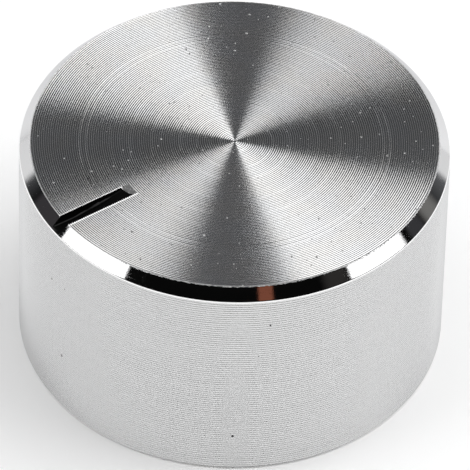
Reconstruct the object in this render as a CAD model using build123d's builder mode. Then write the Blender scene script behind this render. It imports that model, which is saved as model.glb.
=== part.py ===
"""Potentiometer knob, turned from solid aluminium bar, with a sawn pointer slot and a grub screw.

The knob stands on its open side, with the axis of its shaft bore along +Z and the origin at the middle of
its base. The pointer slot points along -Y, and the grub screw is opposite it, on the +Y side.
All sizes are in millimetres.
"""

import os
from math import radians, sqrt, tan

from build123d import *

# Outside of the knob
knob_diameter = 30.0
knob_height = 17.3
face_chamfer = 0.8  # polished 45 degree chamfer round the face
base_edge_break = 0.25  # deburred edge round the foot

# Pocket under the knob, which clears the nut and bush of the potentiometer
skirt_thickness = 3.0
pocket_ceiling = 11.5  # height of the ring-shaped pocket's ceiling above the base
pocket_corner_radius = 0.8  # nose of the boring tool
boss_diameter = 12.5
boss_face_height = 4.5  # the boss stops short of the base by this much
edge_break = 0.3

# Blind bore for a 6 mm round shaft
bore_diameter = 6.06
bore_top = 13.5  # end of the round wall, above the base
drill_point_angle = 118.0

# Pointer slot, cut by one plunge of a slitting saw next to the rim
saw_diameter = 50.0
saw_thickness = 1.0
saw_plunge_radius = 14.2  # distance of the saw's centre from the knob's axis
slot_depth = 0.66

# Black lacquer in the slot: it lines the floor and both walls, and is wiped off the shallow run-out
lacquer_thickness = 0.05
lacquer_meniscus = 0.12  # radius between the lacquered floor and walls
lacquer_edge_radius = 3.0  # the lacquer ends at an arc drawn by the brush
lacquer_edge_centre = (-0.9, -6.2)  # seen from above

# M3 x 4 grub screw with a hexagon socket and a cup point
screw_diameter = 3.0
screw_length = 4.0
screw_height = 8.0  # height of its axis above the base
screw_setback = 0.2  # how far the backed-off tip stays behind the wall of the bore
screw_end_chamfer = 0.25
cup_diameter = 1.4
socket_width = 1.5  # across flats
socket_depth = 2.0
access_hole_diameter = 3.6
access_hole_countersink = 0.3

# Sizes worked out from those above
knob_radius = knob_diameter / 2
face_radius = knob_radius - face_chamfer
skirt_inner_radius = knob_radius - skirt_thickness
boss_radius = boss_diameter / 2
bore_radius = bore_diameter / 2
screw_radius = screw_diameter / 2
saw_radius = saw_diameter / 2
saw_centre_height = knob_height - slot_depth + saw_radius
slot_inner_radius = saw_plunge_radius - sqrt(saw_radius**2 - (saw_radius - slot_depth) ** 2)


def drill_point_length(radius):
    """Height of the cone that a drill of this radius leaves at the bottom of its hole."""
    return radius / tan(radians(drill_point_angle / 2))


def blank_section():
    """Half section of the solid turned blank, from the axis outwards."""
    Polyline(
        (0, 0),
        (knob_radius - base_edge_break, 0),
        (knob_radius, base_edge_break),
        (knob_radius, knob_height - face_chamfer),
        (face_radius, knob_height),
        (0, knob_height),
        close=True,
    )


# Knob body: one turned piece, with the skirt, the face and the boss of the shaft bore
with BuildPart() as knob_body:
    with BuildSketch(Plane.XZ):
        with BuildLine():
            blank_section()
        make_face()
    revolve(axis=Axis.Z)

    # Pocket: wide at the base, and ring-shaped above the face of the boss
    with BuildSketch(Plane.XZ) as pocket:
        with BuildLine():
            Polyline(
                (0, 0),
                (skirt_inner_radius + edge_break, 0),
                (skirt_inner_radius, edge_break),
                (skirt_inner_radius, pocket_ceiling),
                (boss_radius, pocket_ceiling),
                (boss_radius, boss_face_height + edge_break),
                (boss_radius - edge_break, boss_face_height),
                (0, boss_face_height),
                close=True,
            )
        make_face()
        fillet(pocket.vertices().group_by(Axis.Y)[-1], radius=pocket_corner_radius)
    revolve(axis=Axis.Z, mode=Mode.SUBTRACT)

    # Shaft bore: a lead-in chamfer, the round wall and the drill's point
    with BuildSketch(Plane.XZ):
        with BuildLine():
            Polyline(
                (0, boss_face_height),
                (bore_radius + edge_break, boss_face_height),
                (bore_radius, boss_face_height + edge_break),
                (bore_radius, bore_top),
                (0, bore_top + drill_point_length(bore_radius)),
                close=True,
            )
        make_face()
    revolve(axis=Axis.Z, mode=Mode.SUBTRACT)

    # Screw hole through one side of the boss, at the thread's outside diameter
    with BuildSketch(Plane(origin=(0, 0, screw_height), x_dir=(1, 0, 0), z_dir=(0, 1, 0))):
        Circle(screw_radius)
    extrude(amount=boss_radius, mode=Mode.SUBTRACT)

    # Access hole through the skirt, in line with the screw
    with Locations(Plane(origin=(0, knob_radius, screw_height), x_dir=(1, 0, 0), z_dir=(0, 1, 0))):
        CounterSinkHole(
            radius=access_hole_diameter / 2,
            counter_sink_radius=access_hole_diameter / 2 + access_hole_countersink,
            depth=skirt_thickness,
            counter_sink_angle=90,
        )

    # Pointer slot: the saw's disc, plunged once, leaves a curved floor that runs out towards the middle
    with BuildSketch(Plane.YZ):
        with Locations((-saw_plunge_radius, saw_centre_height)):
            Circle(saw_radius)
    extrude(amount=saw_thickness / 2, both=True, mode=Mode.SUBTRACT)
knob_body.part.label = "knob_body"

# Open hollow that stays above the lacquer: a thinner disc than the saw's, whose rounded rim leaves the
# meniscus of the lacquer in the corners of the slot
with BuildPart() as open_hollow:
    with BuildSketch(Plane.YZ):
        with Locations((-saw_plunge_radius, saw_centre_height)):
            Circle(saw_radius - lacquer_thickness)
    extrude(amount=saw_thickness / 2 - lacquer_thickness, both=True)
    fillet(open_hollow.edges(), radius=lacquer_meniscus)

# Lacquer: what the saw took out of the blank, less the open hollow and the bare run-out near the middle
with BuildPart() as pointer_lacquer:
    with BuildSketch(Plane.XZ):
        with BuildLine():
            blank_section()
        make_face()
    revolve(axis=Axis.Z)
    with BuildSketch(Plane.YZ):
        with Locations((-saw_plunge_radius, saw_centre_height)):
            Circle(saw_radius)
    extrude(amount=saw_thickness / 2, both=True, mode=Mode.INTERSECT)
    add(open_hollow.part, mode=Mode.SUBTRACT)
    with BuildSketch(Plane.XY.offset(knob_height - face_chamfer)):
        with Locations(lacquer_edge_centre):
            Circle(lacquer_edge_radius)
    extrude(amount=face_chamfer, mode=Mode.SUBTRACT)
pointer_lacquer.part.label = "pointer_lacquer"

# Grub screw: socket towards the skirt, cup point towards the shaft
screw_tip = Plane(
    origin=(0, bore_radius + screw_setback, screw_height), x_dir=(1, 0, 0), z_dir=(0, 1, 0)
)
with BuildPart() as grub_screw:
    with BuildSketch(screw_tip):
        Circle(screw_radius)
    extrude(amount=screw_length)
    chamfer(grub_screw.edges().group_by(Axis.Y)[-1], length=screw_end_chamfer)
    chamfer(grub_screw.edges().group_by(Axis.Y)[0], length=screw_radius - cup_diameter / 2)
    with Locations(screw_tip):
        Cone(
            bottom_radius=cup_diameter / 2,
            top_radius=0,
            height=drill_point_length(cup_diameter / 2),
            align=(Align.CENTER, Align.CENTER, Align.MIN),
            mode=Mode.SUBTRACT,
        )
    with BuildSketch(screw_tip.offset(screw_length)):
        RegularPolygon(radius=socket_width / 2, side_count=6, major_radius=False)
    extrude(amount=-socket_depth, mode=Mode.SUBTRACT)
    with Locations(screw_tip.offset(screw_length - socket_depth)):
        Cone(
            bottom_radius=0,
            top_radius=socket_width / 2,
            height=drill_point_length(socket_width / 2),
            align=(Align.CENTER, Align.CENTER, Align.MAX),
            mode=Mode.SUBTRACT,
        )
grub_screw.part.label = "grub_screw"

os.makedirs("parts", exist_ok=True)
for piece in (knob_body.part, pointer_lacquer.part, grub_screw.part):
    export_step(piece, f"parts/{piece.label}.step")
    print(piece.label, "volume", round(piece.volume, 3), "mm3")
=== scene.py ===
import math
import random

import bmesh
import bpy
import numpy as np
from mathutils import Matrix, Vector


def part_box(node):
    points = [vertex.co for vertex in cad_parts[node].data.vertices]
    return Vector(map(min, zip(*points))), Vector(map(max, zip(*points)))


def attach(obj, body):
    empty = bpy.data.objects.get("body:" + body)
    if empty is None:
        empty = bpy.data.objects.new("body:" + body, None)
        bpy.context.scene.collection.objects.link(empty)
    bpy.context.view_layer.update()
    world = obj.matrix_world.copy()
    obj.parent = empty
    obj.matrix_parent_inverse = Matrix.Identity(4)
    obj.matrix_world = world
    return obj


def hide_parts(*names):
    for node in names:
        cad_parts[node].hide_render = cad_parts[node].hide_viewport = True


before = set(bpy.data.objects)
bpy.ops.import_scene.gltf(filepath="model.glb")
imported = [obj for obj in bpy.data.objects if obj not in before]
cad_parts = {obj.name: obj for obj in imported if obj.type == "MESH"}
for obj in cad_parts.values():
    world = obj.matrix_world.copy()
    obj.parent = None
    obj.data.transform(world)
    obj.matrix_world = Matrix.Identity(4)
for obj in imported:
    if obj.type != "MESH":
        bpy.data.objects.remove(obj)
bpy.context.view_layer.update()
print("frame loaded:", sorted(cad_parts))

mm = 0.001
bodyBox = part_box("knob_body")
knobRadius = bodyBox[1][0] / mm  # every size below is in millimetres, unless its note says otherwise
knobHeight = bodyBox[1][2] / mm


class Wire:  # one socket of a shader, with arithmetic
    def __init__(self, tree, socket=None):
        self.tree = tree
        self.socket = socket

    def node(self, kind, settings=None, sockets=None, output=0):
        made = self.tree.nodes.new(kind)
        for name, value in (settings or {}).items():
            if name == "stops":
                fillRamp(made.color_ramp, value)
            else:
                setattr(made, name, value)
        for name, value in (sockets or {}).items():
            if isinstance(value, Wire):
                self.tree.links.new(value.socket, made.inputs[name])
            else:
                made.inputs[name].default_value = value
        return Wire(self.tree, made.outputs[output] if made.outputs else None)

    def math(self, operation, *values):
        return self.node("ShaderNodeMath", {"operation": operation}, dict(enumerate(values)))

    def vector(self, operation, other):  # for a distance or a dot product, which are numbers
        return self.node("ShaderNodeVectorMath", {"operation": operation}, {0: self, 1: other}, "Value")

    def mix(self, factor, low, high):  # of colours
        return self.node("ShaderNodeMix", {"data_type": "RGBA"}, {0: factor, 6: low, 7: high}, 2)

    def ramp(self, low, high):  # 0 below low, 1 above high
        sockets = {"Value": self, "From Min": low, "From Max": high}
        return self.node("ShaderNodeMapRange", {"interpolation_type": "SMOOTHSTEP"}, sockets)

    def across(self, edge, reach):  # from 0 to 1 between two distances past an edge
        return self.ramp(edge + reach[0], edge + reach[1])

    def band(self, edge, start, stop):
        return self.across(edge, start) * (1 - self.across(edge, stop))

    def __add__(self, other):
        return self.math("ADD", self, other)

    __radd__ = __add__

    def __sub__(self, other):
        return self.math("SUBTRACT", self, other)

    def __rsub__(self, other):
        return self.math("SUBTRACT", other, self)

    def __mul__(self, other):
        return self.math("MULTIPLY", self, other)

    __rmul__ = __mul__


def fillRamp(ramp, stops):
    while len(ramp.elements) < len(stops):
        ramp.elements.new(0.5)
    for element, (place, colour) in zip(ramp.elements, stops):
        element.position = place
        element.color = colour


def newMaterial(name):
    material = bpy.data.materials.new(name)
    material.use_nodes = True
    tree = material.node_tree
    tree.nodes.clear()
    return material, Wire(tree)


def finishMaterial(wire, sockets):
    shader = wire.node("ShaderNodeBsdfPrincipled", None, sockets)
    wire.node("ShaderNodeOutputMaterial", None, {"Surface": shader})


def objectPlace(wire):  # the place on the object, in millimetres
    place = wire.node("ShaderNodeTexCoord", output="Object")
    return place.node("ShaderNodeVectorMath", {"operation": "SCALE"}, {0: place, "Scale": 1 / mm})


def parts(place):
    return [place.node("ShaderNodeSeparateXYZ", None, {0: place}, output) for output in range(3)]


def noise(place, look):  # look: how many per millimetre, octaves, roughness, and where it sets in and is full
    scale, octaves, roughness, *cut = look
    sockets = {"Vector": place, "Scale": scale, "Detail": octaves, "Roughness": roughness}
    made = place.node("ShaderNodeTexNoise", None, sockets)
    return made.ramp(*cut) if cut else made


def bump(height, look):
    strength, depth = look["bump"]
    return height.node("ShaderNodeBump", None, {
        "Strength": strength, "Distance": depth * mm, "Height": height,
    })


def addObject(name, data):
    made = bpy.data.objects.new(name, data)
    bpy.context.scene.collection.objects.link(made)
    return made


# what the knob's body is turned to
turning = {
    "segments": 216,  # points round each turned ring
    "chamfer": 0.8,
    "faceEdgeRound": 0.05,  # worn corners on both sides of the polished chamfer
    "faceEdgeSteps": 3,
    "sideEdgeRound": 0.2,
    "sideEdgeSteps": 4,
    "baseBreak": 0.25,
    "skirt": 3.0,
    "pocketCeiling": 11.5,
    "pocketCorner": 0.8,
    "cornerSteps": 6,
    "bossRadius": 6.25,
    "bossFace": 4.5,
    "edgeBreak": 0.3,
    "boreRadius": 3.03,
    "boreTop": 13.5,
    "drillPoint": 118.0,
    # grooves: feed per turn, slopes of the outer and inner flanks, how hollow the flanks are, how much one
    # groove differs from the next, and what share of them is up to so much steeper
    "faceGroove": {
        "pitch": 0.151, "fall": 0.415, "rise": 0.466, "hollow": 0.887, "wander": 0.045,
        "steepShare": 0.2, "steeper": 0.24,
    },
    "sideGroove": {
        "pitch": 0.2, "fall": 0.22, "rise": 0.445, "hollow": 0.6, "wander": 0.015,
        "steepShare": 0.0, "steeper": 0.0,
    },
    "grooveSeed": 7,
    "leanLimit": 0.3,  # least cosine between a face and the normals that it is given
}


def unit(x, y):
    size = math.hypot(x, y)
    return (x / size, y / size)


class Section:  # half a section, with the metal on the right of the way that it is walked
    def __init__(self, start):
        self.places = [start]
        self.spans = []  # normals at the two ends of each span, in the plane of the section

    def span(self, end, normalIn, normalOut):
        self.places.append(end)
        self.spans.append((normalIn, normalOut))

    def line(self, *ends):
        for end in ends:
            start = self.places[-1]
            along = unit(end[0] - start[0], end[1] - start[1])
            normal = (-along[1], along[0])
            self.span(end, normal, normal)

    def turn(self, centre, radius, fromAngle, toAngle, steps, side=1):  # side -1 for a hollow corner
        for step in range(steps):
            ends = [math.radians(fromAngle + (toAngle - fromAngle) * s / steps) for s in (step, step + 1)]
            normals = [(side * math.cos(a), side * math.sin(a)) for a in ends]
            end = (centre[0] + radius * math.cos(ends[1]), centre[1] + radius * math.sin(ends[1]))
            self.span(end, *normals)

    def grooves(self, end, groove, rng):  # two hollow flanks between sharp crests
        start = self.places[-1]
        run = math.dist(start, end)
        along = unit(end[0] - start[0], end[1] - start[1])
        out = (-along[1], along[0])
        count = round(run / groove["pitch"])
        step = run / count
        wander = groove["wander"]
        steep, shallow = 1 + groove["hollow"] / 2, 1 - groove["hollow"] / 2

        def place(distance, depth=0.0):
            return tuple(s + a * distance - o * depth for s, a, o in zip(start, along, out))

        def tilted(slope):
            return unit(out[0] + slope * along[0], out[1] + slope * along[1])

        for number in range(count):
            steeper = 1.0
            if rng.random() < groove["steepShare"]:
                steeper += rng.random() * groove["steeper"]
            fall = groove["fall"] * (1 + rng.uniform(-wander, wander)) * steeper
            rise = groove["rise"] * (1 + rng.uniform(-wander, wander)) * steeper
            share = rise / (fall + rise)
            valley = place((number + share) * step, fall * share * step)
            self.span(valley, tilted(fall * steep), tilted(fall * shallow))
            self.span(place((number + 1) * step), tilted(-rise * shallow), tilted(-rise * steep))


def bodySection():  # from the middle of the face, out, down and back inside to the end of the bore
    t = turning
    rng = random.Random(t["grooveSeed"])
    toTangent = math.tan(math.radians(45 / 2))  # from a 45 degree corner to the end of its rounding
    section = Section((0.0, knobHeight))
    rounding = t["faceEdgeRound"]
    faceEnd = knobRadius - t["chamfer"] - rounding * toTangent
    section.grooves((faceEnd, knobHeight), t["faceGroove"], rng)
    section.turn((faceEnd, knobHeight - rounding), rounding, 90, 45, t["faceEdgeSteps"])
    rounding = t["sideEdgeRound"]
    shoulder = (knobRadius - rounding, knobHeight - t["chamfer"] - rounding * toTangent)
    diagonal = rounding * math.sqrt(0.5)
    section.line((shoulder[0] + diagonal, shoulder[1] + diagonal))
    section.turn(shoulder, rounding, 45, 0, t["sideEdgeSteps"])
    section.grooves((knobRadius, t["baseBreak"]), t["sideGroove"], rng)

    inner = knobRadius - t["skirt"]
    corner = t["pocketCorner"]
    under = t["pocketCeiling"] - corner
    boss, bore, bossFace, edge = t["bossRadius"], t["boreRadius"], t["bossFace"], t["edgeBreak"]
    section.line((knobRadius - t["baseBreak"], 0.0), (inner + edge, 0.0), (inner, edge), (inner, under))
    section.turn((inner - corner, under), corner, 0, 90, t["cornerSteps"], -1)
    section.line((boss + corner, t["pocketCeiling"]))
    section.turn((boss + corner, under), corner, 90, 180, t["cornerSteps"], -1)
    section.line((boss, bossFace + edge), (boss - edge, bossFace))
    section.line((bore + edge, bossFace), (bore, bossFace + edge), (bore, t["boreTop"]))
    section.line((0.0, t["boreTop"] + bore / math.tan(math.radians(t["drillPoint"] / 2))))
    return section


def turnSection(section, name):
    count = turning["segments"]
    angles = np.arange(count) * 2 * math.pi / count
    verts = []
    firsts = []  # first vertex of each ring
    for radius, height in section.places:
        firsts.append(len(verts))
        if radius == 0:
            verts.append((0.0, 0.0, height * mm))
        else:
            verts += [(radius * mm * math.cos(a), radius * mm * math.sin(a), height * mm) for a in angles]
    faces = []
    tags = []
    last = len(section.spans) - 1
    for ring in range(last + 1):
        a, b = firsts[ring], firsts[ring + 1]
        for k in range(count):
            n = (k + 1) % count
            if ring == 0:
                faces.append((a, b + k, b + n))
            elif ring == last:
                faces.append((a + k, b, a + n))
            else:
                faces.append((a + k, b + k, b + n, a + n))
            tags.append(ring)
    mesh = bpy.data.meshes.new(name)
    mesh.from_pydata(verts, [], faces)
    tagFaces(mesh, tags)
    return addObject(name, mesh)


def tagFaces(mesh, tags):  # a turned face keeps the number of its span, a cut one the tag of its cut
    layer = mesh.attributes.new("cutBy", "INT", "FACE")
    layer.data.foreach_set("value", np.array(tags, dtype=np.int32))


cuts = {"slotWall": -1, "slotFloor": -2, "slotBurr": -3, "screwHole": -4, "accessHole": -5, "accessSink": -6}


def cutterFrom(name, verts, faces, tags):
    mesh = bpy.data.meshes.new(name)
    mesh.from_pydata([tuple(c * mm for c in v) for v in verts], [], faces)
    tagFaces(mesh, tags)
    work = bmesh.new()
    work.from_mesh(mesh)
    bmesh.ops.recalc_face_normals(work, faces=work.faces)
    work.to_mesh(mesh)
    work.free()
    return addObject(name, mesh)


def prism(outline, low, high, rimTags, endTag, name, place):
    count = len(outline)
    verts = [place(p, low) for p in outline] + [place(p, high) for p in outline]
    faces = [(k, (k + 1) % count, (k + 1) % count + count, k + count) for k in range(count)]
    faces += [tuple(range(count - 1, -1, -1)), tuple(range(count, 2 * count))]
    return cutterFrom(name, verts, faces, list(rimTags) + [endTag, endTag])


# the slitting saw that cut the pointer slot
saw = {
    "radius": 25.0,
    "halfWidth": 0.5,
    "plungeRadius": 14.2,
    "depth": 0.66,
    "floorSteps": 40,
    "above": 0.6,  # how far its cutter stands above the face
    "edgeBreak": 0.13,  # broken edge along the slot's -X side
    "breakSetback": 0.52,  # from the slot's inner end
    "burrWidth": 0.1,  # outer flank of the burr along its +X side
    "burrHeight": 0.055,
    "burrCrest": 0.012,
    "overlap": 0.02,  # of these cutters with the slot and the air
    "beyond": 1.0,  # how far they pass the knob's side
}


def sawCentre():
    return (-saw["plungeRadius"], knobHeight - saw["depth"] + saw["radius"])


def slotCutter():
    y, z = sawCentre()
    radius, half, steps = saw["radius"], saw["halfWidth"], saw["floorSteps"]
    sweep = math.acos((z - knobHeight - saw["above"]) / radius)
    angles = [-math.pi / 2 + sweep * (2 * step / steps - 1) for step in range(steps + 1)]
    outline = [(y + radius * math.cos(a), z + radius * math.sin(a)) for a in angles]
    rimTags = [cuts["slotFloor"]] * steps + [cuts["slotWall"]]
    return prism(outline, -half, half, rimTags, cuts["slotWall"], "slotCutter", lambda p, x: (x, p[0], p[1]))


def edgeCutters():
    half, wide, over = saw["halfWidth"], saw["edgeBreak"], saw["overlap"]
    inner = saw["plungeRadius"] - math.sqrt(saw["radius"] ** 2 - (saw["radius"] - saw["depth"]) ** 2)
    top = knobHeight + over
    broken = [(0.0, knobHeight - wide), (0.0, top), (-half - wide - over, top), (-half, knobHeight - wide)]
    crest = half + saw["burrCrest"]
    foot = crest + saw["burrWidth"]
    slope = saw["burrHeight"] / saw["burrWidth"]
    burr = [(crest - over, knobHeight + over * slope), (foot, knobHeight - saw["burrHeight"]), (foot, top)]
    far = -knobRadius - saw["beyond"]
    cutters = []
    for name, outline, near in (("brokenEdge", broken, -inner - saw["breakSetback"]), ("burr", burr, -inner)):
        tags = [cuts["slotBurr"]] * len(outline)
        cutters.append(prism(outline, far, near, tags, cuts["slotBurr"], name, lambda p, y: (p[0], y, p[1])))
    return cutters


# holes along +Y for the grub screw and its key
holes = {
    "height": 8.0,  # of their axis above the base
    "screwRadius": 1.5,
    "screwCut": (0.5, 7.75),  # where the cutter starts and ends
    "accessRadius": 1.8,
    "accessSink": 0.3,  # countersink round the outer end
    "accessCut": (11.0, 16.0),
    "segments": 64,
}


def roundCutter(name, rings, tags):  # rings of (radius, distance along +Y)
    count = holes["segments"]
    verts = []
    for radius, along in rings:
        for k in range(count):
            a = 2 * math.pi * (k + 0.5) / count
            verts.append((radius * math.cos(a), along, holes["height"] + radius * math.sin(a)))
    faces = []
    faceTags = []
    for ring in range(len(rings) - 1):
        a, b = ring * count, (ring + 1) * count
        for k in range(count):
            n = (k + 1) % count
            faces.append((a + k, a + n, b + n, b + k))
            faceTags.append(tags[ring])
    faces.append(tuple(range(count)))
    faces.append(tuple(range(len(verts) - count, len(verts))))
    return cutterFrom(name, verts, faces, faceTags + [tags[0], tags[-1]])


def holeCutters():
    screwRings = [(holes["screwRadius"], along) for along in holes["screwCut"]]
    radius, sink = holes["accessRadius"], holes["accessSink"]
    start, end = holes["accessCut"]
    accessRings = [
        (radius, start), (radius, knobRadius - sink), (radius + sink, knobRadius), (radius + sink, end),
    ]
    accessTags = [cuts["accessHole"], cuts["accessSink"], cuts["accessHole"]]
    return [
        roundCutter("screwCutter", screwRings, [cuts["screwHole"]]),
        roundCutter("accessCutter", accessRings, accessTags),
    ]


def cutAway(piece, cutter):
    modifier = piece.modifiers.new("cut", "BOOLEAN")
    modifier.operation = "DIFFERENCE"
    modifier.solver = "EXACT"
    modifier.object = cutter
    shape = bpy.data.meshes.new_from_object(piece.evaluated_get(bpy.context.evaluated_depsgraph_get()))
    piece.modifiers.clear()
    old = piece.data
    piece.data = shape
    bpy.data.meshes.remove(old)
    bpy.data.objects.remove(cutter)


def readAll(items, name, width=1, kind=float):
    values = np.empty(len(items) * width, dtype=kind)
    items.foreach_get(name, values)
    return values.reshape(-1, width) if width > 1 else values


def unitRows(rows, least=1e-9):  # a row shorter than the least length stays short
    return rows / np.maximum(np.linalg.norm(rows, axis=1), least)[:, None]


def trueNormals(piece, section):  # normals of the ideal surfaces, kept through the cuts
    mesh = piece.data
    vertexOf = readAll(mesh.loops, "vertex_index", kind=np.int32)
    corner = readAll(mesh.vertices, "co", 3)[vertexOf] / mm
    sizes = readAll(mesh.polygons, "loop_total", kind=np.int32)
    faceNormal = np.repeat(readAll(mesh.polygons, "normal", 3), sizes, axis=0)
    tags = readAll(mesh.attributes["cutBy"].data, "value", kind=np.int32)
    tag = np.repeat(tags, sizes)
    normals = faceNormal.copy()

    turned = tag >= 0
    which = tag[turned]
    ends = np.array(section.places)
    spans = np.array(section.spans)
    start, run = ends[which], ends[which + 1] - ends[which]
    radii = np.linalg.norm(corner[turned, :2], axis=1)
    reached = np.column_stack([radii, corner[turned, 2]]) - start
    share = np.clip((reached * run).sum(axis=1) / (run ** 2).sum(axis=1), 0, 1)[:, None]
    flatNormal = spans[which, 0] * (1 - share) + spans[which, 1] * share
    normals[turned] = np.column_stack([flatNormal[:, :1] * unitRows(corner[turned, :2]), flatNormal[:, 1]])

    floor = tag == cuts["slotFloor"]
    normals[floor, 0] = 0
    normals[floor, 1:] = np.array(sawCentre()) - corner[floor, 1:]

    def toAxis(mask):  # of the two holes
        toward = np.array((0, 0, holes["height"])) - corner[mask]
        toward[:, 1] = 0
        return unitRows(toward)

    for name in ("screwHole", "accessHole"):
        normals[tag == cuts[name]] = toAxis(tag == cuts[name])
    sink = tag == cuts["accessSink"]
    normals[sink] = toAxis(sink) + (0, 1, 0)

    normals = unitRows(normals)
    wrong = (normals * faceNormal).sum(axis=1) < turning["leanLimit"]
    normals[wrong] = faceNormal[wrong]
    print("corners set:", len(normals), "kept flat:", int(wrong.sum()))
    mesh.normals_split_custom_set(normals)
    slot = np.isin(tags, [cuts[name] for name in ("slotWall", "slotFloor", "slotBurr")])
    mesh.polygons.foreach_set("material_index", slot.astype(np.int32))
    mesh.attributes.remove(mesh.attributes["cutBy"])


def makeBody():
    section = bodySection()
    piece = turnSection(section, "turned_body")
    cutAway(piece, slotCutter())
    for cutter in edgeCutters() + holeCutters():
        cutAway(piece, cutter)
    piece.data.materials.append(aluminium())
    piece.data.materials.append(sawnAluminium())
    trueNormals(piece, section)
    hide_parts("knob_body")
    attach(piece, "root")
    print("body made:", len(piece.data.polygons), "faces")


# finish of the turned aluminium; a mask's pair of numbers says where it sets in and is full, past its edge
metal = {
    "colour": (0.8, 0.805, 0.812, 1),
    "warmColour": (0.81, 0.803, 0.79, 1),  # in soft patches
    "sideColour": (0.732, 0.734, 0.734, 1),
    "edgeTint": (0.75, 0.75, 0.76, 1),  # where it is seen along the surface
    "chamferColour": (0.755, 0.755, 0.76, 1),
    "lipColour": (0.99, 0.99, 0.99, 1),  # painted highlight: bright lines along both edges of the chamfer, where its worn edges catch the light
    "pitColour": (0.03, 0.03, 0.03, 1),
    "grooveRoughness": 0.16,
    "sideRoughness": 0.2,
    "chamferRoughness": 0.04,
    "smearRoughness": 0.1,  # added where the chamfer is smeared
    "insideRoughness": 0.3,
    "ringSpread": 0.3,  # how much the roughness differs between rings, as a share of it
    "speckRoughness": 0.3,
    "wornRoughness": 0.35,
    "faceMask": (-0.2, -0.1),
    "nearFaceMask": (-0.4, -0.3),
    "sideMask": (-0.1, -0.05),
    "chamferMask": (-0.05, -0.03),
    "lipTop": (0.03, 0.09),  # the lip, a painted highlight line, is on the side, just under the chamfer
    "lipFoot": (-0.12, -0.08),
    "browStart": (-0.03, -0.01),  # the brow is a painted highlight, a thin light line along the face's edge
    "browStop": (0.035, 0.055),
    "chipStart": (-0.07, -0.03),  # chips along the face's edge, none near the mouth of the slot
    "chipStop": (0.027, 0.09),
    "chipsFromSlot": (5.0, 6.5),
    "speckSize": 0.085,
    "smallestSpeck": 0.25,  # as a share of it
    "speckCore": 0.5,  # share of a speck's radius that is full
    "specksPerMm": 2.0,
    "pitCore": 0.6,  # share of a pit's radius that is fully dark
    "grain": 0.13,  # relief on the grooves, and on the chamfer
    "chamferGrain": 0.03,
    "bump": (0.6, 0.03),  # strength and depth
    "warmNoise": (0.35, 3, 0.5, 0.35, 0.65),
    "ringNoise": (3.0, 4, 0.7),
    "smearNoise": (2.5, 5, 0.7, 0.5, 0.8),
    "patchNoise": (0.3, 2, 0.5, 0.32, 0.52),
    "chipNoise": (7.0, 5, 0.75, 0.52, 0.62),
    "chipRelief": (9.0, 2, 0.5),
    "grainNoise": (14.0, 2, 0.6),
}

# dark pits in the side: angle round the knob from +X in degrees, height, radius
pits = [
    (268.5, 11.74, 0.1), (274.4, 11.95, 0.09), (273.2, 5.17, 0.12),
    (325.8, 3.31, 0.11), (335.0, 14.12, 0.08), (332.1, 11.19, 0.07),
]


def aluminium():
    m = metal
    material, wire = newMaterial("turned_aluminium")
    place = objectPlace(wire)
    x, y, z = parts(place)
    radius = wire.math("SQRT", x * x + y * y)
    slant = radius + z  # the same all over the chamfer
    chamferSlant = knobRadius + knobHeight - turning["chamfer"]
    faceRim = knobRadius - turning["chamfer"]

    # where each finish is
    chamfer = slant.across(chamferSlant, m["chamferMask"])
    face = z.across(knobHeight, m["faceMask"]) * (1 - chamfer)
    nearFace = z.across(knobHeight, m["nearFaceMask"])
    outer = radius.across(knobRadius, m["sideMask"])
    side = outer * (1 - chamfer)
    # the lip: where a painted highlight line goes, just under the chamfer
    lip = outer * (1 - z.across(knobHeight - turning["chamfer"], m["lipTop"]))
    lip = lip * slant.across(chamferSlant, m["lipFoot"])
    pit = pitMask(place)
    cells = {"Vector": place, "Scale": m["specksPerMm"]}
    away = wire.node("ShaderNodeTexVoronoi", None, cells)
    luck = parts(wire.node("ShaderNodeTexVoronoi", None, cells, "Color"))[0]
    size = (m["smallestSpeck"] + luck * luck * luck) * (m["speckSize"] * m["specksPerMm"])
    speck = (1 - away.ramp(size * m["speckCore"], size)) * face
    soiled = place.vector("DISTANCE", (0.0, -faceRim, knobHeight)).ramp(*m["chipsFromSlot"]) * nearFace
    chips = radius.band(faceRim, m["chipStart"], m["chipStop"]) * soiled
    chips = chips * noise(place, m["patchNoise"]) * noise(place, m["chipNoise"])
    # the brow: where a painted highlight line goes, along the face's edge
    brow = radius.band(faceRim, m["browStart"], m["browStop"]) * nearFace * (1 - chips)

    colour = wire.mix(noise(place, m["warmNoise"]), m["colour"], m["warmColour"])
    # the lip and the brow both take lipColour, a painted highlight
    for mask, shade in ((side, "side"), (chamfer, "chamfer"), (lip, "lip"), (pit, "pit"), (brow, "lip")):
        colour = wire.mix(mask, colour, m[shade + "Colour"])

    ring = noise(wire.node("ShaderNodeCombineXYZ", None, {0: radius, 1: z}), m["ringNoise"])
    rough = m["insideRoughness"] * (1 - chamfer) * (1 - face) * (1 - side)
    rough = rough + face * m["grooveRoughness"] + side * m["sideRoughness"]
    rough = rough * (1 - m["ringSpread"] / 2 + ring * m["ringSpread"])
    rough = rough + chamfer * (m["chamferRoughness"] + noise(place, m["smearNoise"]) * m["smearRoughness"])
    rough = rough + speck * m["speckRoughness"] + (chips + brow) * m["wornRoughness"]

    grain = m["chamferGrain"] + (m["grain"] - m["chamferGrain"]) * (1 - chamfer)
    relief = noise(place, m["grainNoise"]) * grain + speck + chips * (1 + noise(place, m["chipRelief"]))
    finishMaterial(wire, {
        "Base Color": colour, "Metallic": 1.0, "Roughness": rough, "Normal": bump(relief - pit, m),
        "Specular Tint": m["edgeTint"],
    })
    return material


def pitMask(place):
    masks = []
    for angle, height, size in pits:
        around = math.radians(angle)
        middle = (knobRadius * math.cos(around), knobRadius * math.sin(around), height)
        masks.append(1 - place.vector("DISTANCE", middle).ramp(size * metal["pitCore"], size))
    return sum(masks)


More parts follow.
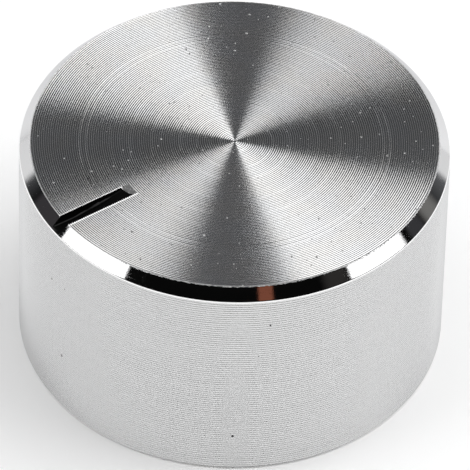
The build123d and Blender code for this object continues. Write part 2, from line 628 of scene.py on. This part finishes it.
# finish of the slot's bare walls and floor
sawn = {
    "colour": (0.9, 0.9, 0.9, 1),
    "dark": (0.4, 0.4, 0.4, 1),
    "edgeRoughness": 0.25,
    "floorRoughness": 0.6,
    "floorMask": (-0.02, 0.0),
    "markNoise": (3.2, 4, 0.65),
    "markCut": (0.5, 0.62),
    "edgeRelief": 0.15,
    "bump": (0.7, 0.05),
}


def sawnAluminium():
    material, wire = newMaterial("sawn_aluminium")
    place = objectPlace(wire)
    floor = 1 - wire.math("ABSOLUTE", parts(place)[0]).across(saw["halfWidth"], sawn["floorMask"])
    marks = noise(place, sawn["markNoise"])
    finishMaterial(wire, {
        "Base Color": wire.mix(floor * (1 - marks.ramp(*sawn["markCut"])), sawn["colour"], sawn["dark"]),
        "Metallic": 1.0,
        "Roughness": sawn["edgeRoughness"] + floor * (sawn["floorRoughness"] - sawn["edgeRoughness"]),
        "Normal": bump(marks * (sawn["edgeRelief"] + floor), sawn),
    })
    return material


lacquer = {
    "colour": (0.002, 0.002, 0.002, 1),
    "gloss": 0.22,  # specular level
    "roughness": 0.16,
    "unevenness": 0.06,
    "roughNoise": (5.0, 3, 0.5),
    "rippleNoise": (2.2, 3, 0.55),
    "bump": (0.25, 0.05),
}


def dressLacquer():
    material, wire = newMaterial("black_lacquer")
    place = objectPlace(wire)
    finishMaterial(wire, {
        "Base Color": lacquer["colour"],
        "Roughness": lacquer["roughness"] + noise(place, lacquer["roughNoise"]) * lacquer["unevenness"],
        "Normal": bump(noise(place, lacquer["rippleNoise"]), lacquer),
        "Specular IOR Level": lacquer["gloss"],
    })
    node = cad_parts["pointer_lacquer"]
    node.data.materials.clear()
    node.data.materials.append(material)
    print("lacquer dressed")


# the grub screw, which fills its hole
screw = {
    "pitch": 0.5,
    "threadDepth": 0.27,
    "crestShare": 0.12,  # of half the pitch, flat on top of the thread
    "flankShare": 0.7,
    "tip": 3.23,  # distance of its tip from the knob's axis
    "length": 4.0,
    "endChamfer": 0.25,
    "tipChamfer": 0.8,
    "cupRadius": 0.7,
    "cupPoint": 118.0,
    "socketWidth": 1.5,
    "socketDepth": 2.0,
    "socketLead": 0.12,
    "socketPoint": 0.4,
    "segments": 96,
    "stepsPerTurn": 12,
    "sharpAngle": 28,
}


def screwRings(angles):  # from the bottom of the cup, along the thread and into the socket
    s = screw
    radius = holes["screwRadius"]
    tip, end = s["tip"], s["tip"] + s["length"]
    count = len(angles)

    def threadRadius(along, angle):
        phase = (along / s["pitch"] + angle / (2 * math.pi)) % 1.0
        flank = min(1.0, max(0.0, (abs(phase - 0.5) * 2 - s["crestShare"]) / s["flankShare"]))
        fromEnd = radius - s["endChamfer"] + (end - along)
        fromTip = s["cupRadius"] + (along - tip) * (radius - s["cupRadius"]) / s["tipChamfer"]
        return min(radius - s["threadDepth"] * flank, fromEnd, fromTip)

    def hexRadius(angle):
        sixth = math.pi / 3
        return s["socketWidth"] / 2 / math.cos((angle % sixth) - sixth / 2)

    cupDepth = s["cupRadius"] / math.tan(math.radians(s["cupPoint"] / 2))
    rings = [[(tip + cupDepth, 0.0)] * count, [(tip, s["cupRadius"])] * count]
    steps = round(s["length"] / s["pitch"] * s["stepsPerTurn"])
    for step in range(steps + 1):
        along = tip + s["length"] * step / steps
        rings.append([(along, threadRadius(along, a)) for a in angles])
    lead, bottom = s["socketLead"], end - s["socketDepth"]
    rings.append([(end, s["socketWidth"] / 2 / math.cos(math.pi / 6) + lead)] * count)
    rings.append([(end - lead, hexRadius(a)) for a in angles])
    rings.append([(bottom, hexRadius(a)) for a in angles])
    rings.append([(bottom - s["socketPoint"], 0.0)] * count)
    return rings


def makeScrew():
    count = screw["segments"]
    angles = [2 * math.pi * k / count for k in range(count)]
    work = bmesh.new()

    def vertex(along, radius, angle):
        height = holes["height"] + radius * math.sin(angle)
        return work.verts.new((radius * mm * math.cos(angle), along * mm, height * mm))

    grid = []
    for ring in screwRings(angles):
        if ring[0][1] == 0:  # the point of a cone
            grid.append([vertex(*ring[0], 0.0)] * count)
        else:
            grid.append([vertex(*spot, angle) for spot, angle in zip(ring, angles)])
    for low, high in zip(grid, grid[1:]):
        for k in range(count):
            n = (k + 1) % count
            corners = [low[k], low[n], high[n], high[k]]
            work.faces.new([v for i, v in enumerate(corners) if v not in corners[:i]])
    bmesh.ops.recalc_face_normals(work, faces=work.faces)
    mesh = bpy.data.meshes.new("threaded_screw")
    work.to_mesh(mesh)
    work.free()
    mesh.shade_smooth()
    mesh.set_sharp_from_angle(angle=math.radians(screw["sharpAngle"]))
    mesh.materials.append(blackSteel())
    piece = addObject("threaded_screw", mesh)
    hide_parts("grub_screw")
    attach(piece, "root")
    print("screw made:", len(mesh.polygons), "faces")


steel = {
    "colour": (0.028, 0.028, 0.032, 1),
    "wornColour": (0.12, 0.115, 0.11, 1),
    "metallic": 0.85,
    "roughness": 0.3,
    "wornRoughness": 0.15,  # added where it is worn
    "wornNoise": (3.0, 4, 0.65, 0.5, 0.72),
    "grainNoise": (14.0, 3, 0.5),
    "bump": (0.3, 0.02),
}


def blackSteel():
    material, wire = newMaterial("blackened_steel")
    place = objectPlace(wire)
    worn = noise(place, steel["wornNoise"])
    finishMaterial(wire, {
        "Base Color": wire.mix(worn, steel["colour"], steel["wornColour"]),
        "Metallic": steel["metallic"],
        "Roughness": steel["roughness"] + worn * steel["wornRoughness"],
        "Normal": bump(noise(place, steel["grainNoise"]), steel),
    })
    return material


# camera: angles and distance found from the photograph's own perspective
view = {
    "azimuth": 54.3,
    "elevation": 44.79,
    "roll": 1.567,
    "distance": 32.98,  # in knob radii, from the middle of the face, as the next two are
    "right": 0.0124,
    "up": -0.4354,
    "focal": 7128 / 470,  # focal length in picture widths
    "sensor": 36.0,
    "clip": (0.01, 20),  # in metres
}


def viewAxes():
    a, e = math.radians(view["azimuth"]), math.radians(view["elevation"])
    back = Vector((math.sin(a) * math.cos(e), -math.cos(a) * math.cos(e), math.sin(e)))
    right = Vector((math.cos(a), math.sin(a), 0))
    return right, back.cross(right), back


def makeCamera():
    right, up, back = viewAxes()
    away = back * view["distance"] + right * view["right"] + up * view["up"]
    place = Vector((0, 0, knobHeight * mm)) + away * knobRadius * mm
    roll = math.radians(view["roll"])
    tiltedRight = right * math.cos(roll) + up * math.sin(roll)
    tiltedUp = up * math.cos(roll) - right * math.sin(roll)
    facing = Matrix((tiltedRight, tiltedUp, back)).transposed().to_4x4()
    data = bpy.data.cameras.new("camera")
    data.sensor_width = view["sensor"]
    data.lens = view["focal"] * view["sensor"]
    data.clip_start, data.clip_end = view["clip"]
    camera = addObject("camera", data)
    camera.matrix_world = Matrix.Translation(place) @ facing
    bpy.context.scene.camera = camera
    print("camera set")


# soft boxes, in metres: azimuth counts anticlockwise from the viewer's right-hand side, roll turns a box
# about its middle, and radiance 1 is white
boxes = {
    "leftLow": {
        "azimuth": 196.4, "elevation": 33.6, "roll": 1.9, "distance": 0.7,
        "width": 0.368, "height": 0.364, "radiance": 1.4, "inGloss": True,
    },
    "leftHigh": {
        "azimuth": 174.6, "elevation": 61.5, "roll": 4.6, "distance": 0.7,
        "width": 0.539, "height": 0.389, "radiance": 0.78, "inGloss": True,
    },
    "rightLow": {
        "azimuth": 347.0, "elevation": 33.2, "roll": -4.0, "distance": 0.7,
        "width": 0.3, "height": 0.209, "radiance": 1.36, "inGloss": True,
    },
    "rightHigh": {
        "azimuth": 13.6, "elevation": 52.9, "roll": 12.4, "distance": 0.7,
        "width": 0.538, "height": 0.675, "radiance": 1.1, "inGloss": True,
    },
    "fill": {
        "azimuth": 10, "elevation": 74, "roll": 0, "distance": 0.9,
        "width": 1.4, "height": 1.4, "radiance": 1.05, "inGloss": False,
    },
}
wattsPerSquareMetre = 4  # of a box with a radiance of 1


def direction(azimuth, elevation):
    a, e = math.radians(azimuth + view["azimuth"]), math.radians(elevation)
    return Vector((math.cos(a) * math.cos(e), math.sin(a) * math.cos(e), math.sin(e)))


def makeLights():
    middle = Vector((0, 0, knobHeight * mm / 2))
    for name, box in boxes.items():
        out = direction(box["azimuth"], box["elevation"])
        data = bpy.data.lights.new(name, "AREA")
        data.shape = "RECTANGLE"
        data.size = box["width"]
        data.size_y = box["height"]
        data.energy = box["radiance"] * wattsPerSquareMetre * box["width"] * box["height"]
        lamp = addObject(name, data)
        facing = out.to_track_quat("Z", "Y").to_matrix().to_4x4()
        turned = facing @ Matrix.Rotation(math.radians(box["roll"]), 4, "Z")
        lamp.matrix_world = Matrix.Translation(middle + out * box["distance"]) @ turned
        lamp.visible_camera = False
        lamp.visible_glossy = box["inGloss"]
    print("lights set:", len(boxes))


room = {
    "floorHalf": 0.6,  # in metres
    "floorColour": (0.9, 0.9, 0.9, 1),
    "floorRoughness": 0.9,
    "floorGlow": (0.13, 0.13, 0.13, 1),  # what the camera and the metal see besides, up to plain white
    "glowRays": ("Is Camera Ray", "Is Glossy Ray", "Is Transmission Ray"),
    # the studio round it, with heights as the sine of their elevation
    "wall": (0.88, 0.88, 0.88, 1),
    "wallTop": 0.124,
    "wallTilt": 0.037,  # how much lower its edge is on the viewer's right, and higher on the left
    "wallEdge": (-0.022, 0.022),
    "dark": (0.003, 0.003, 0.003, 1),  # above the wall, behind the viewer
    "grey": [(0.12, 0.17), (0.37, 0.17), (0.44, 0.045), (0.8, 0.07)],  # heights and shades on the far side
    "greyTint": (1, 1.02, 1.06),
    "greyDepth": (0.3, 0.7),  # how far away from the viewer it sets in and is full
    "ceiling": (0.107, 0.108, 0.113, 1),
    "ceilingHeight": (0.8, 0.9),
}

# dim glows in the dark studio that the polished chamfer mirrors, placed as the soft boxes are: spread is the
# radius in degrees, and soft the share of a glow that fades
glimpses = {
    "brownStrip": {
        "azimuth": 289, "elevation": 44.5, "spread": 3.1, "soft": 0.3, "colour": (0.22, 0.075, 0.045, 1),
    },
    "leftGlow": {
        "azimuth": 167, "elevation": 19.5, "spread": 10.0, "soft": 0.6, "colour": (0.045, 0.042, 0.045, 1),
    },
    "rightGlow": {
        "azimuth": 12, "elevation": 22.5, "spread": 6.0, "soft": 0.6, "colour": (0.045, 0.045, 0.048, 1),
    },
    "greyGlow": {
        "azimuth": 21, "elevation": 15.5, "spread": 7.0, "soft": 1.0, "colour": (0.2, 0.196, 0.188, 1),
    },
    "boxHalo": {
        "azimuth": 326, "elevation": 37.5, "spread": 7.0, "soft": 1.0, "colour": (0.03, 0.028, 0.027, 1),
    },
}


def makeFloor():
    half = room["floorHalf"]
    mesh = bpy.data.meshes.new("floor")
    corners = [(-half, -half, 0), (half, -half, 0), (half, half, 0), (-half, half, 0)]
    mesh.from_pydata(corners, [], [(0, 1, 2, 3)])
    floor = addObject("floor", mesh)
    material, wire = newMaterial("floor")
    rays = [wire.node("ShaderNodeLightPath", output=name) for name in room["glowRays"]]
    seen = wire.math("MAXIMUM", wire.math("MAXIMUM", rays[0], rays[1]), rays[2])
    finishMaterial(wire, {
        "Base Color": room["floorColour"], "Roughness": room["floorRoughness"], "Specular IOR Level": 0.0,
        "Emission Color": wire.mix(seen, (0, 0, 0, 1), room["floorGlow"]), "Emission Strength": 1.0,
    })
    mesh.materials.append(material)
    print("floor made")


def makeWorld():
    world = bpy.data.worlds.new("world")
    bpy.context.scene.world = world
    world.use_nodes = True
    world.node_tree.nodes.clear()
    wire = Wire(world.node_tree)
    looking = wire.node("ShaderNodeTexCoord", output="Generated")
    rightwards = looking.vector("DOT_PRODUCT", viewAxes()[0])
    upwards = parts(looking)[2]
    depth = looking.vector("DOT_PRODUCT", direction(90, 0))
    stops = [(height, (*(shade * tint for tint in room["greyTint"]), 1)) for height, shade in room["grey"]]
    grey = wire.node("ShaderNodeValToRGB", {"stops": stops}, {0: upwards})
    studio = wire.mix(depth.ramp(*room["greyDepth"]), room["dark"], grey)
    studio = wire.mix(upwards.ramp(*room["ceilingHeight"]), studio, room["ceiling"])
    level = upwards + rightwards * room["wallTilt"]
    colour = wire.mix(level.across(room["wallTop"], room["wallEdge"]), room["wall"], studio)
    for glimpse in glimpses.values():
        near = looking.vector("DOT_PRODUCT", direction(glimpse["azimuth"], glimpse["elevation"]))
        edge = math.cos(math.radians(glimpse["spread"]))
        colour = wire.mix(near.ramp(edge, edge + (1 - edge) * glimpse["soft"]), colour, glimpse["colour"])
    background = wire.node("ShaderNodeBackground", None, {"Color": colour, "Strength": 1.0})
    wire.node("ShaderNodeOutputWorld", None, {"Surface": background})
    print("world made")


bpy.context.scene.view_settings.view_transform = "Standard"
makeCamera()
makeLights()
makeFloor()
makeWorld()
makeBody()
dressLacquer()
makeScrew()
